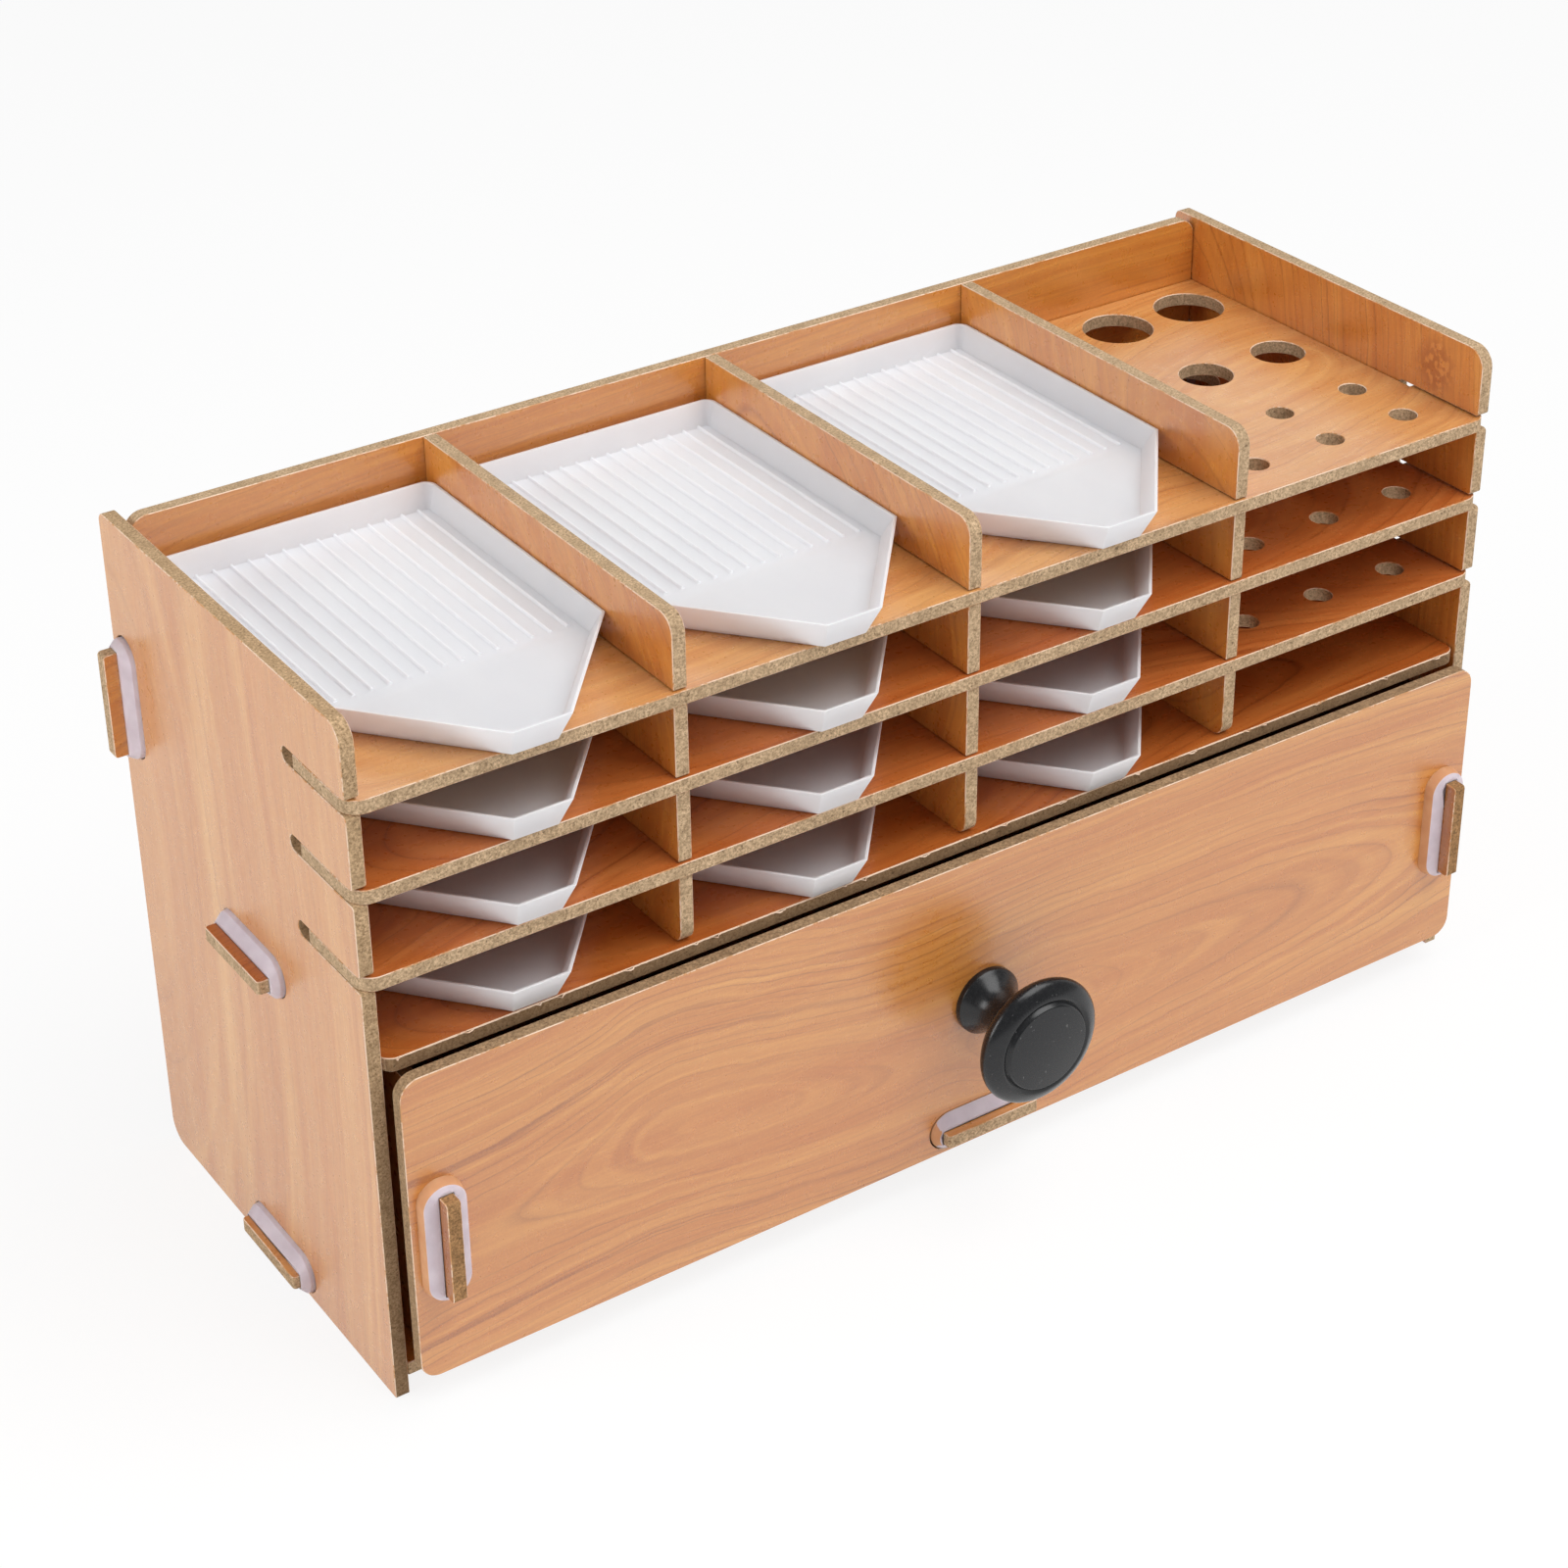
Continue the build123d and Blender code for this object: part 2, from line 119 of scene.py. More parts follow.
def wood_paper(board, along, across, heart, spread, depth, seed, lighting_tint=(1.0, 1.0, 1.0, 1.0), gloss=0.83,
               burl=None):
    """Printed wood paper: growth rings round a heart line, soft bands, fibres and specks, unevenly glossy.

    heart lists places along the board as shares of its length, with the heart's share of the width and
    how deep the heart lies under the face; spread is the width of the first ring in millimetres, depth
    is how boldly the rings are printed, the tint over the whole print is painted light, paler with painted
    sheen on lit boards and deeper with painted shade on shaded ones, and gloss is its shine.
    burl is the place of a curly patch along and across the board and its two half sizes, in millimetres.
    """
    made, tree, surface = new_material(f"wood paper of {board}")
    low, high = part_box(board)
    through = 3 - along - across
    place = millimetres(tree)
    axes = node(tree, "ShaderNodeSeparateXYZ", {0: place})
    u = sum_of(tree, "SUBTRACT", axes.outputs[along], low[along] * 1000)
    v = sum_of(tree, "SUBTRACT", axes.outputs[across], low[across] * 1000)
    w = sum_of(tree, "ADD", axes.outputs[through], seed)
    grain = joined(tree, u, v, w)
    length = (high[along] - low[along]) * 1000
    width = (high[across] - low[across]) * 1000

    sway = sum_of(tree, "SUBTRACT", clouds(tree, grain, (0.012, 0.03, 0.7)), 0.5)
    ripple = sum_of(tree, "SUBTRACT", clouds(tree, grain, (0.07, 0.2, 0.7)), 0.5)
    swayed = sum_of(tree, "MULTIPLY_ADD", sway, 5.0, v)
    swayed = sum_of(tree, "MULTIPLY_ADD", ripple, 2.0, swayed)
    share = sum_of(tree, "DIVIDE", u, length)
    middle = curve(tree, share, [(at, side) for at, side, deep in heart])
    hollow = curve(tree, share, [(at, deep) for at, side, deep in heart])
    aside = sum_of(tree, "MULTIPLY_ADD", middle, -width, swayed)
    under = sum_of(tree, "MULTIPLY", hollow, width)
    squares = sum_of(tree, "MULTIPLY_ADD", aside, aside, sum_of(tree, "MULTIPLY", under, under))
    radius = sum_of(tree, "SQRT", squares)
    growth = sum_of(tree, "POWER", sum_of(tree, "DIVIDE", radius, spread), 1.35)

    years = joined(tree, u, growth, w)
    rings = sum_of(tree, "MULTIPLY_ADD", clouds(tree, years, (0.004, 0.55, 0.7), 1.0), 2.6, growth)
    late_wood = [(0.0, 1.0), (0.05, 0.5), (0.1, 0.05), (0.3, 0.0),
                 (0.8, 0.04), (0.92, 0.25), (0.97, 0.8), (1.0, 1.0)]
    line = curve(tree, sum_of(tree, "FRACT", rings), late_wood)
    which = joined(tree, sum_of(tree, "MULTIPLY", sum_of(tree, "FLOOR", rings), 7.3),
                   sum_of(tree, "MULTIPLY", u, 0.011), w)
    strength = between(tree, clouds(tree, which, (1.0, 1.0, 0.7), 1.0), 0.32, 0.62, 0.06, 1.0)
    line = sum_of(tree, "MULTIPLY", line, strength)
    line = sum_of(tree, "MULTIPLY", line, between(tree, growth, 0.6, 6.5, 0.22, 1.0))
    late = between(tree, clouds(tree, years, (0.004, 0.5, 0.3), 2.0), 0.35, 0.65, 0.0, 0.5)
    bands = between(tree, clouds(tree, joined(tree, u, swayed, w), (0.005, 0.14, 0.7)), 0.3, 0.7, 0.0, 1.0)
    warm = between(tree, clouds(tree, grain, (0.012, 0.05, 0.7)), 0.35, 0.75, 0.0, 0.3)
    streaks = clouds(tree, joined(tree, u, growth, w), (0.006, 1.5, 0.7), 3.0, 0.6)
    fibres = clouds(tree, grain, (0.045, 1.7, 0.7), 3.0, 0.65)
    dashes = between(tree, clouds(tree, years, (0.07, 4.0, 0.7), 0.0), 0.6, 0.72, 0.0, 0.12 * depth)

    deep, pale = (0.585, 0.198, 0.030, 1.0), (0.725, 0.330, 0.074, 1.0)
    late_brown, warm_red = (0.56, 0.178, 0.026, 1.0), (0.60, 0.190, 0.038, 1.0)
    dark_streak, light_streak = (0.46, 0.125, 0.017, 1.0), (0.80, 0.385, 0.088, 1.0)
    line_brown, dash_brown = (0.30, 0.075, 0.009, 1.0), (0.27, 0.066, 0.012, 1.0)
    dark_fibre, light_fibre = (0.41, 0.112, 0.017, 1.0), (0.80, 0.39, 0.095, 1.0)
    light_speck = (0.82, 0.42, 0.11, 1.0)
    colour = blend(tree, bands, deep, pale)
    colour = blend(tree, late, colour, late_brown)
    colour = blend(tree, warm, colour, warm_red)
    colour = blend(tree, between(tree, streaks, 0.28, 0.5, 0.5 * depth, 0.0), colour, dark_streak)
    colour = blend(tree, between(tree, streaks, 0.5, 0.72, 0.0, 0.5), colour, light_streak)
    colour = blend(tree, sum_of(tree, "MULTIPLY", line, depth), colour, line_brown)
    colour = blend(tree, dashes, colour, dash_brown)
    colour = blend(tree, between(tree, fibres, 0.35, 0.62, 0.16, 0.0), colour, dark_fibre)
    colour = blend(tree, between(tree, fibres, 0.52, 0.75, 0.0, 0.25), colour, light_fibre)
    speckle = clouds(tree, place, (2.4, 2.4, 2.4), 1.0)
    colour = blend(tree, between(tree, speckle, 0.3, 0.5, 0.08, 0.0), colour, dark_fibre)
    colour = blend(tree, between(tree, speckle, 0.5, 0.7, 0.0, 0.14), colour, light_speck)
    if burl:
        beside = sum_of(tree, "DIVIDE", sum_of(tree, "SUBTRACT", u, burl[0]), burl[2])
        aslant = sum_of(tree, "DIVIDE", sum_of(tree, "SUBTRACT", v, burl[1]), burl[3])
        away = sum_of(tree, "MULTIPLY_ADD", beside, beside, sum_of(tree, "MULTIPLY", aslant, aslant))
        patch = between(tree, away, 0.3, 1.3, 1.0, 0.0)
        curls = between(tree, clouds(tree, grain, (0.6, 0.8, 0.7), 2.0), 0.5, 0.6, 0.0, 0.6)
        dark_burl, light_curl = (0.36, 0.085, 0.010, 1.0), (0.78, 0.33, 0.08, 1.0)
        colour = blend(tree, sum_of(tree, "MULTIPLY", patch, 0.75), colour, dark_burl)
        colour = blend(tree, sum_of(tree, "MULTIPLY", patch, curls), colour, light_curl)
    # Painted light: a tint over the whole board, which makes lit boards paler with painted sheen and shaded
    # boards deeper with painted shade.
    tinted = node(tree, "ShaderNodeMix", {0: 1.0, 6: colour, 7: lighting_tint},
                  data_type="RGBA", blend_type="MULTIPLY").outputs[2]
    pebbles = clouds(tree, place, (0.5, 0.5, 0.5), 1.0)
    tree.links.new(tinted, surface.inputs["Base Color"])
    tree.links.new(between(tree, pebbles, 0.3, 0.7, 0.26, 0.34), surface.inputs["Roughness"])
    surface.inputs["IOR"].default_value = 1.8
    surface.inputs["Specular IOR Level"].default_value = gloss
    return made


def fibre_edge(name, dark, light, foot_shade=0.0):
    """The cut edge of fibreboard: felted fibres with dark pits, made browner towards its foot by painted
    shade.
    """
    made, tree, surface = new_material(name)
    place = millimetres(tree)
    felt = clouds(tree, place, (2.1, 2.1, 2.1), 3.0, 0.7)
    patches = clouds(tree, place, (0.3, 0.3, 0.3), 2.0)
    pits = between(tree, clouds(tree, place, (1.3, 1.3, 1.3), 2.0), 0.26, 0.37, 0.75, 0.0)
    colour = blend(tree, between(tree, felt, 0.33, 0.67, 0.0, 1.0), dark, light)
    colour = blend(tree, between(tree, patches, 0.3, 0.7, 0.0, 0.4), colour, dark)
    colour = blend(tree, pits, colour, (0.10, 0.06, 0.028, 1.0))
    rise = node(tree, "ShaderNodeSeparateXYZ", {0: place}).outputs[2]
    # Painted shade: the edge is painted browner towards its foot.
    colour = blend(tree, between(tree, rise, 10.0, 110.0, foot_shade, 0.0), colour, (0.12, 0.06, 0.025, 1.0))
    height = sum_of(tree, "SUBTRACT", felt, pits)
    bump = node(tree, "ShaderNodeBump", {"Strength": 0.6, "Distance": 0.00007, "Height": height})
    tree.links.new(colour, surface.inputs["Base Color"])
    tree.links.new(bump.outputs[0], surface.inputs["Normal"])
    surface.inputs["Roughness"].default_value = 0.85
    surface.inputs["Specular IOR Level"].default_value = 0.25
    return made


def torn_border(name, whole):
    """The rim of the paper along a cut: pale where the print is chipped off, in its colour elsewhere."""
    made, tree, surface = new_material(name)
    place = millimetres(tree)
    tears = clouds(tree, place, (1.1, 1.1, 1.1), 3.0, 0.6)
    runs = clouds(tree, place, (0.12, 0.12, 0.12), 2.0)
    bare = between(tree, sum_of(tree, "MULTIPLY_ADD", runs, 1.2, tears), whole, whole + 0.25, 0.0, 1.0)
    colour = blend(tree, bare, (0.56, 0.27, 0.10, 1.0), (0.82, 0.61, 0.45, 1.0))
    bump = node(tree, "ShaderNodeBump", {"Strength": 0.4, "Distance": 0.00004, "Height": tears})
    tree.links.new(colour, surface.inputs["Base Color"])
    tree.links.new(bump.outputs[0], surface.inputs["Normal"])
    surface.inputs["Roughness"].default_value = 0.6
    return made


cut_edge = fibre_edge("fibreboard cut edge", (0.26, 0.17, 0.09, 1.0), (0.78, 0.56, 0.35, 1.0))
paper_border = torn_border("torn paper border", 0.9)


def pick(piece):
    """Leaves one piece selected and active."""
    bpy.ops.object.select_all(action="DESELECT")
    piece.select_set(True)
    bpy.context.view_layer.objects.active = piece


def clean_copy(part, name):
    """A copy of a CAD mesh with its triangles merged into whole faces, left in edit mode."""
    merge_distance, flat_angle = 0.000002, math.radians(0.2)
    piece = bpy.data.objects.new(name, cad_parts[part].data.copy())
    piece.data.materials.clear()
    scene.collection.objects.link(piece)
    pick(piece)
    bpy.ops.object.mode_set(mode="EDIT")
    bpy.ops.mesh.select_all(action="SELECT")
    bpy.ops.mesh.remove_doubles(threshold=merge_distance)
    bpy.ops.mesh.dissolve_limited(angle_limit=flat_angle)
    bpy.ops.mesh.select_all(action="DESELECT")
    return piece


def break_edges(width, segments, sharpness):
    """Bevels the sharp edges of the piece in edit mode, then shades its round parts smooth."""
    round_angle = math.radians(28)
    bpy.ops.mesh.select_mode(type="EDGE")
    bpy.ops.mesh.edges_select_sharp(sharpness=math.radians(sharpness))
    bpy.ops.mesh.bevel(offset=width, segments=segments, affect="EDGES", clamp_overlap=False)
    bpy.ops.object.mode_set(mode="OBJECT")
    bpy.ops.object.shade_smooth_by_angle(angle=round_angle)


def papered_board(part, body, paper, edge=cut_edge, border=paper_border, front=None):
    """One board of the object: paper on its two faces, bare fibreboard on its cut edges."""
    paper_break, flat_share, border_share, front_depth = 0.00016, 0.95, 0.2, 0.001
    board = clean_copy(part, f"{part}_board")
    break_edges(paper_break, 1, 50)
    low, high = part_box(part)
    sizes = [high[i] - low[i] for i in range(3)]
    through = sizes.index(min(sizes))
    for material in (paper, edge, border, front or edge):
        board.data.materials.append(material)
    for face in board.data.polygons:
        lie = abs(face.normal[through])
        foremost = face.normal.y < -0.5 and face.center.y < low[1] + front_depth
        face.material_index = 0 if lie > flat_share else 2 if lie > border_share else 3 if foremost else 1
    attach(board, body)
    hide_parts(part)
    return board


# Painted sheen: the left panel's paper is tinted paler and cooler, for the sheen of light on this face.
left_painted_sheen_tint = (1.0, 1.13, 1.62, 1.0)
left_heart = [(0.0, 1.0, 0.8), (0.5, 1.0, 0.74), (1.0, 1.0, 0.8)]
right_heart = [(0.0, 1.0, 0.9), (0.5, 1.0, 0.85), (1.0, 1.0, 0.9)]
# This edge carries painted shade towards its foot, beside the drawer front.
left_edge = fibre_edge("cut edge of the left panel", (0.24, 0.15, 0.072, 1.0), (0.74, 0.51, 0.30, 1.0), 0.62)
left_paper = wood_paper("left_side_panel", 2, 1, left_heart, 9.0, 0.3, 1.3, left_painted_sheen_tint)
papered_board("left_side_panel", "case", left_paper, left_edge)
# Painted shade: the right panel's paper is tinted warmer and more saturated, as its inner face lies in shade.
right_painted_shade_tint = (1.07, 1.03, 0.9, 1.0)
right_burl = (142.0, 13.5, 6.5, 6.0)
right_paper = wood_paper("right_side_panel", 2, 1, right_heart, 5.0, 0.9, 4.1, right_painted_shade_tint, burl=right_burl)
papered_board("right_side_panel", "case", right_paper)

# Bottom panel and back panel. The same board, with the grain lengthways. One tab at each end passes
# through the side panels, and the back stands on the bottom.

bottom_heart = [(0.0, 0.6, 0.2), (0.4, 0.5, 0.05), (1.0, 0.55, 0.3)]
back_heart = [(0.0, 0.3, 0.3), (0.45, 0.35, 0.1), (1.0, 0.45, 0.25)]
# Painted shade: the back and the dividers are tinted more saturated, as they stand in the shade of the bays.
inner_painted_shade_tint = (1.02, 0.97, 0.78, 1.0)
papered_board("bottom_panel", "case", wood_paper("bottom_panel", 0, 1, bottom_heart, 7.0, 0.5, 7.7))
papered_board("back_panel", "case", wood_paper("back_panel", 0, 2, back_heart, 6.0, 0.5, 2.9, inner_painted_shade_tint))

# Drawer roof. The board over the drawer, which is also the floor of the lowest row of trays. Its
# tabs pass through the side panels. Its front edge is darker, and its paper is chipped along the cut:
# a thin torn strip lies along that border, low enough for the trays to slide over it.

# Painted shade: the roof's paper is tinted deeper, as it lies in shade under the shelves.
roof_painted_shade_tint = (0.75, 0.53, 0.50, 1.0)
# A darker cut edge for the front of the roof.
roof_edge = fibre_edge("darker cut edge of the roof front", (0.20, 0.115, 0.055, 1.0), (0.42, 0.27, 0.145, 1.0))
roof_border = torn_border("chipped paper border", 0.75)
roof_heart = [(0.0, 0.1, 0.25), (0.4, 0.12, 0.04), (0.7, 0.2, 0.2), (1.0, 0.1, 0.3)]
roof_paper = wood_paper("drawer_roof", 0, 1, roof_heart, 5.0, 0.8, 5.2, roof_painted_shade_tint, 0.3)
papered_board("drawer_roof", "case", roof_paper, cut_edge, roof_border, roof_edge)

roof_low, roof_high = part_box("drawer_roof")
strip_length, strip_width, strip_steps, strip_thickness = 0.262, 0.0003, 400, 0.00008
strip_inset, strip_drop, strip_unevenness, torn_reach = 0.00002, 0.0001, 0.00006, 0.0002
tears = ((0.0, -0.0003, 0.0), (0.0001, -0.00045, -0.0001), (-0.0001, -0.0002, 0.00003))
bpy.ops.object.select_all(action="DESELECT")
bpy.ops.mesh.primitive_grid_add(x_subdivisions=strip_steps, y_subdivisions=2, size=1.0)
tatters = bpy.context.object
tatters.name = "roof_paper_tatters"
bpy.ops.object.mode_set(mode="EDIT")
bpy.ops.transform.resize(value=(strip_length, strip_width, 1.0))
bpy.ops.transform.rotate(value=math.radians(-45), orient_axis="X", center_override=(0.0, 0.0, 0.0))
bpy.ops.transform.translate(value=(0.0, roof_low[1] + strip_inset, roof_high[2] - strip_drop))
bpy.ops.transform.vertex_random(offset=strip_unevenness, seed=5)
bpy.ops.mesh.select_mode(type="VERT")
for turn, shift in enumerate(tears):
    bpy.ops.mesh.select_all(action="DESELECT")
    bpy.ops.object.mode_set(mode="OBJECT")
    for point in tatters.data.vertices:
        column = round((point.co.x / strip_length + 0.5) * strip_steps)
        torn = (column * (column + 7 * turn)) % 53 < 3
        point.select = torn and point.co.z > roof_high[2] - torn_reach
    bpy.ops.object.mode_set(mode="EDIT")
    bpy.ops.transform.translate(value=shift)
bpy.ops.object.mode_set(mode="OBJECT")
bpy.ops.object.modifier_add(type="SOLIDIFY")
tatters.modifiers[-1].thickness = strip_thickness
bpy.ops.object.modifier_apply(modifier=tatters.modifiers[-1].name)
tatters.data.materials.append(roof_border)
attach(tatters, "case")

# Shelves. Three equal boards, grain lengthways, with ears that lie in the slots of the side panels and
# with drilled holes for pens and tools in the last bay.

lower_heart = [(0.0, 0.2, 0.1), (0.5, 0.3, 0.3), (1.0, 0.15, 0.1)]
middle_heart = [(0.0, 0.1, 0.3), (0.6, 0.2, 0.05), (1.0, 0.3, 0.3)]
top_heart = [(0.0, 0.15, 0.2), (0.3, 0.25, 0.06), (0.7, 0.3, 0.28), (0.9, 0.45, 0.06), (1.0, 0.5, 0.2)]
# Painted shade: the lower and middle shelves are tinted deeper and redder, as they lie in shade inside the
# bays.
shelf_painted_shade_tint = (0.84, 0.63, 0.72, 1.0)
lower_paper = wood_paper("lower_shelf", 0, 1, lower_heart, 6.0, 0.7, 8.4, shelf_painted_shade_tint, 0.3)
middle_paper = wood_paper("middle_shelf", 0, 1, middle_heart, 6.0, 0.7, 3.6, shelf_painted_shade_tint, 0.3)
papered_board("lower_shelf", "case", lower_paper)
papered_board("middle_shelf", "case", middle_paper)
# Painted sheen: the top shelf's paper is tinted much paler and cooler, for the sheen of light on it.
top_painted_sheen_tint = (1.09, 1.30, 1.9, 1.0)
papered_board("top_shelf", "case", wood_paper("top_shelf", 0, 1, top_heart, 6.0, 0.6, 9.9, top_painted_sheen_tint))

# Dividers. Three upright boards of the same papered sheet, grain upwards, that lap the shelves from
# behind and stand on the roof.

dividers = (("left_divider", 0.9, 11.3), ("middle_divider", 0.8, 14.2), ("right_divider", 0.2, 17.5))
for part, side, seed in dividers:
    divider_heart = [(0.0, side, 0.5), (0.6, side - 0.08, 0.44), (1.0, side + 0.05, 0.48)]
    papered_board(part, "case", wood_paper(part, 2, 1, divider_heart, 6.0, 0.5, seed, inner_painted_shade_tint))

# Drawer boards. A front, two sides, a back and a floor, locked by tabs like the case. The front has
# the boldest print: a plain-sawn heart with two eyes, one left of the knob and one right of it.

front_heart = [(0.0, 0.386, 0.171), (0.075, 0.414, 0.186), (0.15, 0.457, 0.143), (0.202, 0.486, 0.057),
               (0.24, 0.476, 0.014), (0.318, 0.429, 0.057), (0.4, 0.386, 0.114), (0.468, 0.377, 0.129),
               (0.524, 0.371, 0.057), (0.562, 0.371, 0.043), (0.599, 0.371, 0.079), (0.64, 0.375, 0.117),
               (0.712, 0.386, 0.143), (0.794, 0.396, 0.164), (0.899, 0.4, 0.214), (1.0, 0.4, 0.286)]
side_heart = [(0.0, 0.4, 0.1), (0.5, 0.5, 0.3), (1.0, 0.45, 0.1)]
front_edge = fibre_edge("cut edge of the drawer front", (0.17, 0.105, 0.052, 1.0), (0.54, 0.355, 0.20, 1.0))
tab_edge = fibre_edge("cut edge of the drawer tabs", (0.16, 0.085, 0.032, 1.0), (0.53, 0.29, 0.125, 1.0))
front_paper = wood_paper("drawer_front", 0, 2, front_heart, 5.0, 0.8, 21.7)
papered_board("drawer_front", "drawer", front_paper, front_edge)
# Painted shade: the drawer's sides and back are tinted darker, as they sit in shade behind the front.
drawer_painted_shade_tint = (0.62, 0.56, 0.62, 1.0)
for part, along, across, heart, seed in (("drawer_left_side", 1, 2, side_heart, 24.4),
                                         ("drawer_right_side", 1, 2, side_heart, 27.2),
                                         ("drawer_back", 0, 2, back_heart, 30.6)):
    papered_board(part, "drawer", wood_paper(part, along, across, heart, 6.0, 0.5, seed, drawer_painted_shade_tint), tab_edge)
papered_board("drawer_bottom", "drawer", wood_paper("drawer_bottom", 0, 1, bottom_heart, 7.0, 0.5, 33.8))

# Soft rings. Milky silicone stadiums, moulded, pushed over the tabs so that their lips fill the holes: one
# on each end of the roof, the bottom and the back, and six on the drawer. The flanks of those on the
# drawer front are painted in the colour of the wood: partly the wood seen through the silicone, partly
# painted shade and painted reflection of the wood around them.


def silicone(name, dark, light):
    """Milky silicone with faint clouds and a dull moulded skin."""
    made, tree, surface = new_material(name)
    place = millimetres(tree)
    haze = clouds(tree, place, (0.25, 0.25, 0.25), 3.0)
    colour = blend(tree, between(tree, haze, 0.3, 0.7, 0.0, 1.0), dark, light)
    skin = clouds(tree, place, (3.0, 3.0, 3.0), 2.0)
    bump = node(tree, "ShaderNodeBump", {"Strength": 0.25, "Distance": 0.00003, "Height": skin})
    tree.links.new(colour, surface.inputs["Base Color"])
    tree.links.new(between(tree, skin, 0.3, 0.7, 0.42, 0.55), surface.inputs["Roughness"])
    tree.links.new(bump.outputs[0], surface.inputs["Normal"])
    surface.inputs["Subsurface Weight"].default_value = 0.5
    surface.inputs["Subsurface Radius"].default_value = (1.0, 0.8, 0.9)
    surface.inputs["Subsurface Scale"].default_value = 0.001
    return made


# Painted shade and painted reflection: the flanks on the drawer front are coloured like the wood in shade.
ring_flank_painted_shade = silicone("silicone flank painted with the wood's shade", (0.60, 0.30, 0.15, 1.0), (0.68, 0.37, 0.20, 1.0))
wall_gloss = 0.1
ring_flank_painted_shade.node_tree.nodes["Principled BSDF"].inputs["Specular IOR Level"].default_value = wall_gloss
ring_skin = silicone("milky silicone", (0.58, 0.495, 0.545, 1.0), (0.68, 0.60, 0.65, 1.0))


def fill_hole(ring, part, through, face, spread_long, spread_wide):
    """Cuts a ring where it leaves the board and widens it there, so that its lip covers the hole."""
    slot_long, slot_wide, reach = 0.0124, 0.0025, 0.00002
    low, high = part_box(part)
    middle = [(low[i] + high[i]) / 2 for i in range(3)]
    flat = [i for i in range(3) if i != through]
    long_way, wide_way = sorted(flat, key=lambda i: low[i] - high[i])
    plane = [face if i == through else 0.0 for i in range(3)]
    out = [1.0 if i == through else 0.0 for i in range(3)]
    bpy.ops.mesh.select_mode(type="VERT")
    bpy.ops.mesh.select_all(action="SELECT")
    bpy.ops.mesh.bisect(plane_co=plane, plane_no=out)
    bpy.ops.mesh.select_all(action="DESELECT")
    bpy.ops.object.mode_set(mode="OBJECT")
    for point in ring.data.vertices:
        aside = [abs(point.co[i] - middle[i]) for i in range(3)]
        outer = aside[wide_way] > slot_wide or aside[long_way] > slot_long
        point.select = outer and abs(point.co[through] - face) < reach
    bpy.ops.object.mode_set(mode="EDIT")
    spread = {long_way: spread_long, wide_way: spread_wide, through: 1.0}
    bpy.ops.transform.resize(value=[spread[i] for i in range(3)], center_override=middle)
    bpy.ops.mesh.select_all(action="DESELECT")


ring_break = 0.00006
case_spread, drawer_spread = (1.0, 1.06), (1.045, 1.085)
faces = {"case_left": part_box("left_side_panel")[0][0], "case_right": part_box("right_side_panel")[1][0],
         "drawer_front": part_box("drawer_front")[0][1], "drawer_back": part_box("drawer_back")[1][1]}
ring_rows = (("case", ("roof", "bottom", "back"), ("left", "right"), 0),
             ("drawer", ("drawer_front", "drawer_back"), ("left", "right", "middle"), 1))
for body, posts, sides, through in ring_rows:
    for post in posts:
        for side in sides:
            part = f"ring_{post}_{side}"
            ring = clean_copy(part, f"{part}_silicone")
            if body == "case":
                fill_hole(ring, part, through, faces[f"case_{side}"], *case_spread)
            elif side != "middle":
                fill_hole(ring, part, through, faces[post], *drawer_spread)
            break_edges(ring_break, 2, 20)
            ring.data.materials.append(ring_skin)
            ring.data.materials.append(ring_flank_painted_shade if post == "drawer_front" else ring_skin)
            for face in ring.data.polygons:
                face.material_index = 0 if abs(face.normal[through]) > 0.5 else 1
            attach(ring, body)
            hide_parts(part)

# Knob and screw. A turned mushroom knob, enamelled satin black, with a ring groove in its face. A
# slotted steel screw holds it from inside the drawer.


def enamel():
    """Satin black enamel with a faint orange-peel face and a little dust."""
    made, tree, surface = new_material("satin black enamel")
    place = millimetres(tree)
    peel = clouds(tree, place, (1.3, 1.3, 1.3), 2.0)
    dust = between(tree, clouds(tree, place, (1.2, 1.2, 1.2), 0.0), 0.81, 0.85, 0.0, 0.3)
    black, sheen = (0.005, 0.0055, 0.007, 1.0), (0.009, 0.0095, 0.011, 1.0)
    colour = blend(tree, between(tree, peel, 0.3, 0.7, 0.0, 1.0), black, sheen)
    colour = blend(tree, dust, colour, (0.25, 0.25, 0.25, 1.0))
    bump = node(tree, "ShaderNodeBump", {"Strength": 0.2, "Distance": 0.00002, "Height": peel})
    tree.links.new(colour, surface.inputs["Base Color"])
    tree.links.new(between(tree, peel, 0.3, 0.7, 0.22, 0.29), surface.inputs["Roughness"])
    tree.links.new(bump.outputs[0], surface.inputs["Normal"])
    return made


def steel():
    """Zinc-plated steel, finely brushed by the tumbler."""
    made, tree, surface = new_material("plated steel")
    place = millimetres(tree)
    scuffs = clouds(tree, place, (4.0, 0.6, 4.0), 3.0, 0.6)
    dull, bright = (0.42, 0.43, 0.45, 1.0), (0.62, 0.63, 0.64, 1.0)
    colour = blend(tree, between(tree, scuffs, 0.3, 0.7, 0.0, 1.0), dull, bright)
    tree.links.new(colour, surface.inputs["Base Color"])
    tree.links.new(between(tree, scuffs, 0.3, 0.7, 0.25, 0.45), surface.inputs["Roughness"])
    surface.inputs["Metallic"].default_value = 1.0
    return made


knob_break, screw_break = 0.00014, 0.0002
knob = clean_copy("drawer_knob", "drawer_knob_turned")
break_edges(knob_break, 2, 35)
knob.data.materials.append(enamel())
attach(knob, "drawer")
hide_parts("drawer_knob")

screw = clean_copy("knob_screw", "knob_screw_slotted")
break_edges(screw_break, 2, 35)
screw.data.materials.append(steel())
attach(screw, "drawer")
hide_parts("knob_screw")

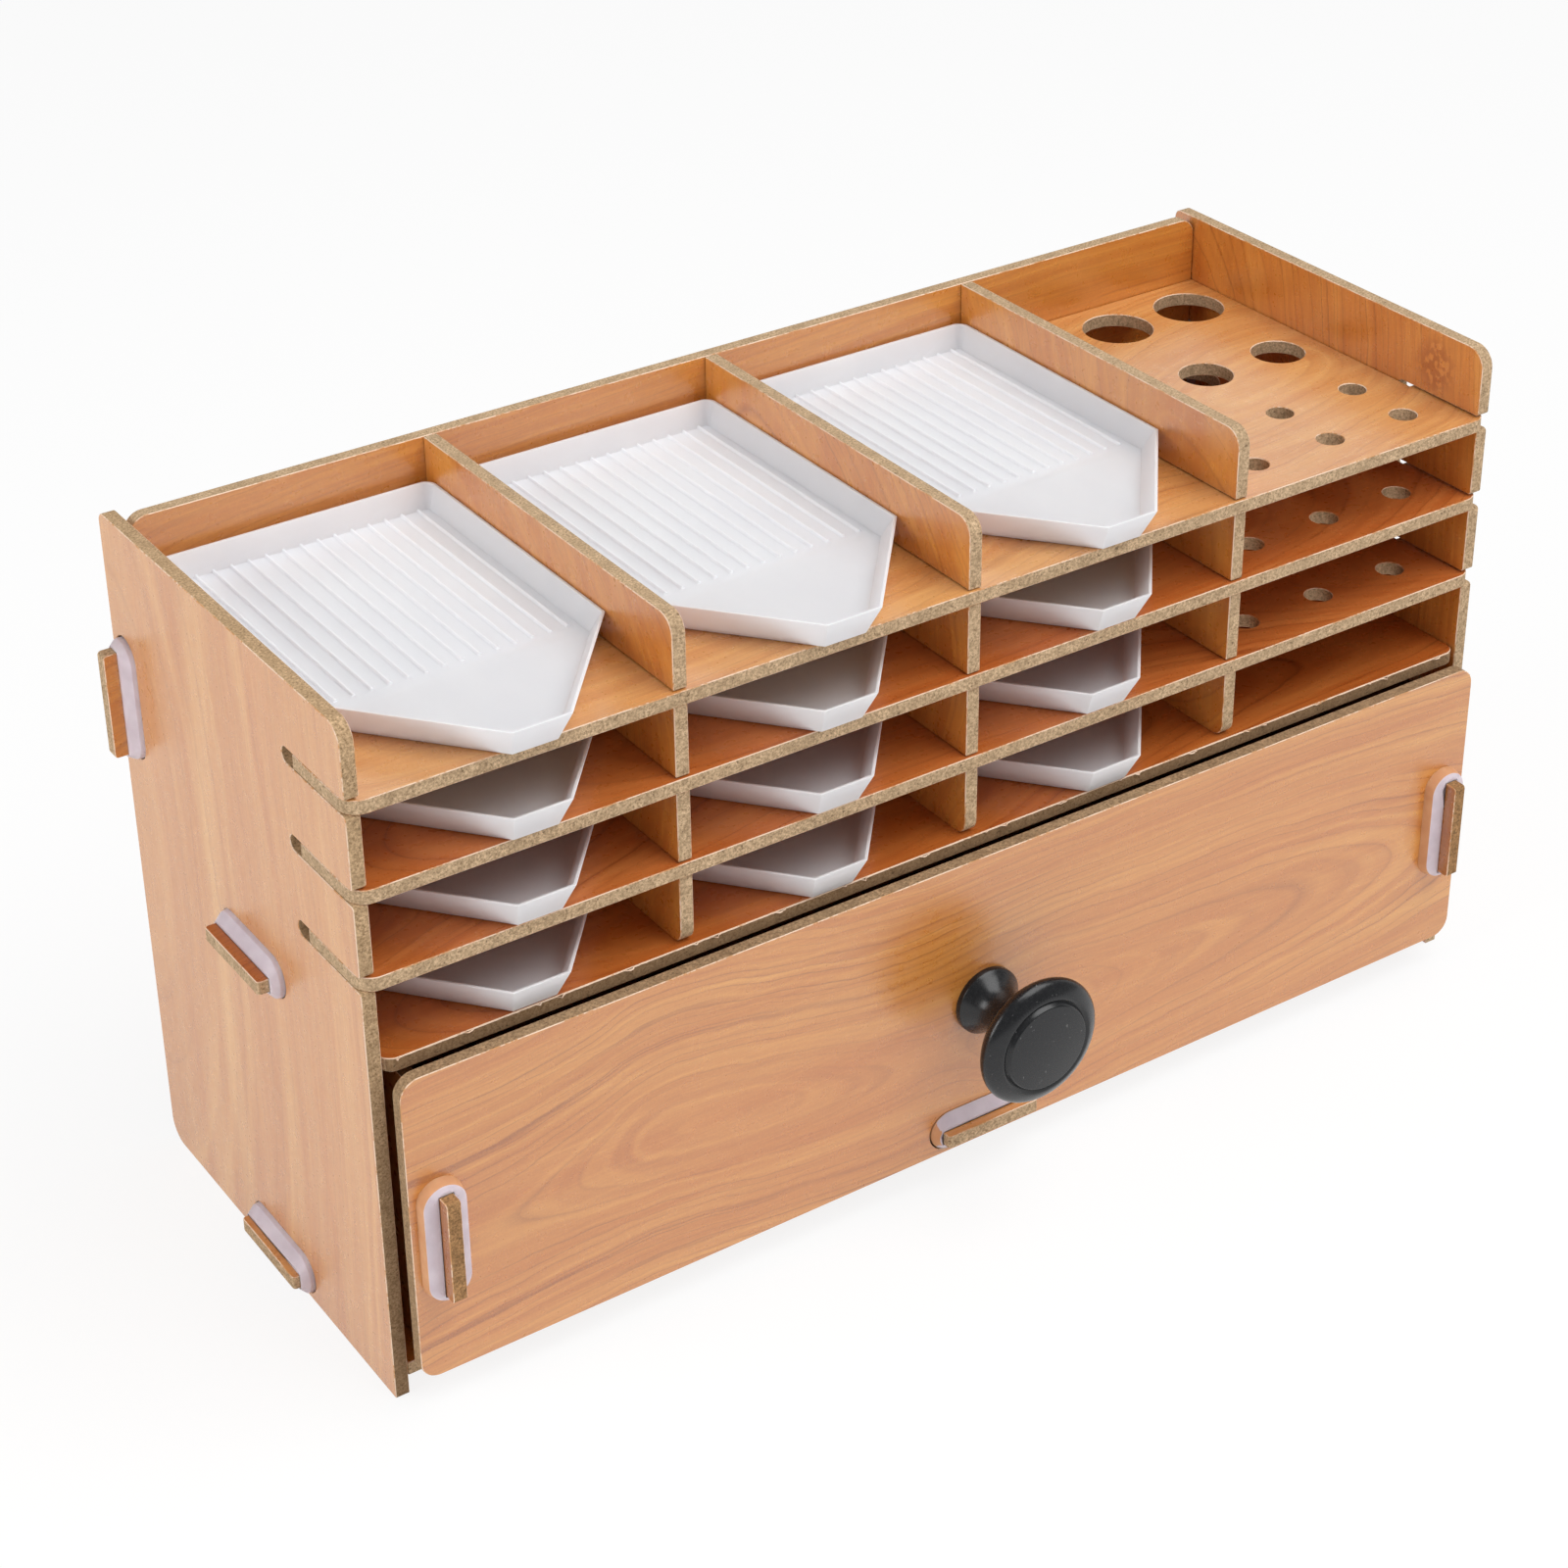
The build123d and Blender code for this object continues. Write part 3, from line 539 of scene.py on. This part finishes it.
# Pouring trays. Twelve thin trays moulded in white plastic, with fine ridges along the floor and a
# spout at the front. They lie loose on the shelves and on the roof.


def moulded_white():
    """White moulded plastic with faint flow marks, slightly cool."""
    made, tree, surface = new_material("white moulded plastic")
    place = millimetres(tree)
    flow = clouds(tree, place, (0.05, 0.02, 0.05), 3.0)
    skin = clouds(tree, place, (1.2, 1.2, 1.2), 2.0)
    shaded, clear = (0.76, 0.765, 0.81, 1.0), (0.82, 0.825, 0.86, 1.0)
    colour = blend(tree, between(tree, flow, 0.3, 0.7, 0.0, 1.0), shaded, clear)
    bump = node(tree, "ShaderNodeBump", {"Strength": 0.15, "Distance": 0.00002, "Height": skin})
    tree.links.new(colour, surface.inputs["Base Color"])
    tree.links.new(between(tree, skin, 0.3, 0.7, 0.3, 0.38), surface.inputs["Roughness"])
    tree.links.new(bump.outputs[0], surface.inputs["Normal"])
    surface.inputs["Subsurface Weight"].default_value = 0.6
    surface.inputs["Subsurface Radius"].default_value = (1.0, 0.95, 0.97)
    surface.inputs["Subsurface Scale"].default_value = 0.003
    return made


tray_break = 0.00012
tray_plastic = moulded_white()
for level in ("top", "second", "third", "fourth"):
    for bay in ("left", "middle", "right"):
        part = f"tray_{level}_{bay}"
        tray = clean_copy(part, f"{part}_moulded")
        break_edges(tray_break, 2, 20)
        tray.data.materials.append(tray_plastic)
        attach(tray, part)
        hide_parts(part)

# Studio. A wide white floor under a pale sky that is brighter to the front, the right and above, with a
# bright wall behind in its mirror image. A large softbox stands at the front on the right, another on the
# left, and the camera is where the photograph's was.

bpy.ops.object.select_all(action="DESELECT")
bpy.ops.mesh.primitive_plane_add(size=8.0, location=(0.0, 0.0, 0.0))
floor = bpy.context.object
floor.name = "studio_floor"
paint, tree, surface = new_material("white studio floor")
tree.nodes.remove(surface)
rays = tree.nodes.new("ShaderNodeLightPath")
seen = sum_of(tree, "MAXIMUM", rays.outputs["Is Camera Ray"], rays.outputs["Is Glossy Ray"])
seen = sum_of(tree, "MAXIMUM", seen, rays.outputs["Is Transmission Ray"])
brightness = between(tree, rays.outputs["Is Glossy Ray"], 0.0, 1.0, 1.0, 0.97)
matt = node(tree, "ShaderNodeBsdfDiffuse", {"Color": (0.95, 0.95, 0.95, 1.0)}).outputs[0]
glow = node(tree, "ShaderNodeEmission", {"Color": (1.0, 1.0, 1.0, 1.0), "Strength": brightness}).outputs[0]
lit = sum_of(tree, "MULTIPLY", seen, 0.85)
mixed = node(tree, "ShaderNodeMixShader", {0: lit, 1: matt, 2: glow}).outputs[0]
tree.links.new(mixed, tree.nodes["Material Output"].inputs["Surface"])
floor.data.materials.append(paint)

world = bpy.data.worlds.new("white sky")
scene.world = world
world.use_nodes = True
sky = world.node_tree
rays = sky.nodes.new("ShaderNodeLightPath")
towards = node(sky, "ShaderNodeSeparateXYZ", {0: sky.nodes.new("ShaderNodeTexCoord").outputs["Generated"]})
soft = sum_of(sky, "MULTIPLY_ADD", towards.outputs[0], 0.26, 0.31)
soft = sum_of(sky, "MULTIPLY_ADD", towards.outputs[1], -0.36, soft)
soft = sum_of(sky, "MULTIPLY_ADD", towards.outputs[2], 0.25, soft)
soft = sum_of(sky, "MAXIMUM", soft, 0.08)
wall = sum_of(sky, "MULTIPLY", between(sky, towards.outputs[1], -0.2, 0.1, 0.0, 1.0),
              between(sky, towards.outputs[2], 0.55, 0.75, 1.0, 0.0))
mirrored = between(sky, wall, 0.0, 1.0, 0.3, 1.08)
light = node(sky, "ShaderNodeMix", {0: rays.outputs["Is Glossy Ray"], 2: soft, 3: mirrored}).outputs[0]
light = node(sky, "ShaderNodeMix", {0: rays.outputs["Is Camera Ray"], 2: light, 3: 1.0}).outputs[0]
sky.nodes["Background"].inputs["Color"].default_value = (1.0, 1.0, 1.0, 1.0)
sky.links.new(light, sky.nodes["Background"].inputs["Strength"])

part_middle = Vector((0.0, 0.0, 0.08))
for name, place, size, power in (("front_right_softbox", (0.32, -0.42, 1.12), 0.9, 8.8),
                                 ("left_softbox", (-1.0, 0.05, 0.5), 0.6, 4.7)):
    bpy.ops.object.light_add(type="AREA", location=place)
    lamp = bpy.context.object
    lamp.name = name
    aim = part_middle - lamp.location
    lamp.rotation_euler = aim.to_track_quat("-Z", "Y").to_euler()
    lamp.data.shape = "SQUARE"
    lamp.data.size = size
    lamp.data.energy = power

bpy.ops.object.camera_add(location=(-0.34124, -0.48235, 0.43604))
camera = bpy.context.object
camera.rotation_euler = (math.radians(61.30), math.radians(0.682), math.radians(-33.89))
camera.data.sensor_width = 36.0
camera.data.lens = 75.58
camera.data.shift_x = 0.00485
camera.data.shift_y = -0.1073
camera.data.clip_start = 0.01
scene.camera = camera
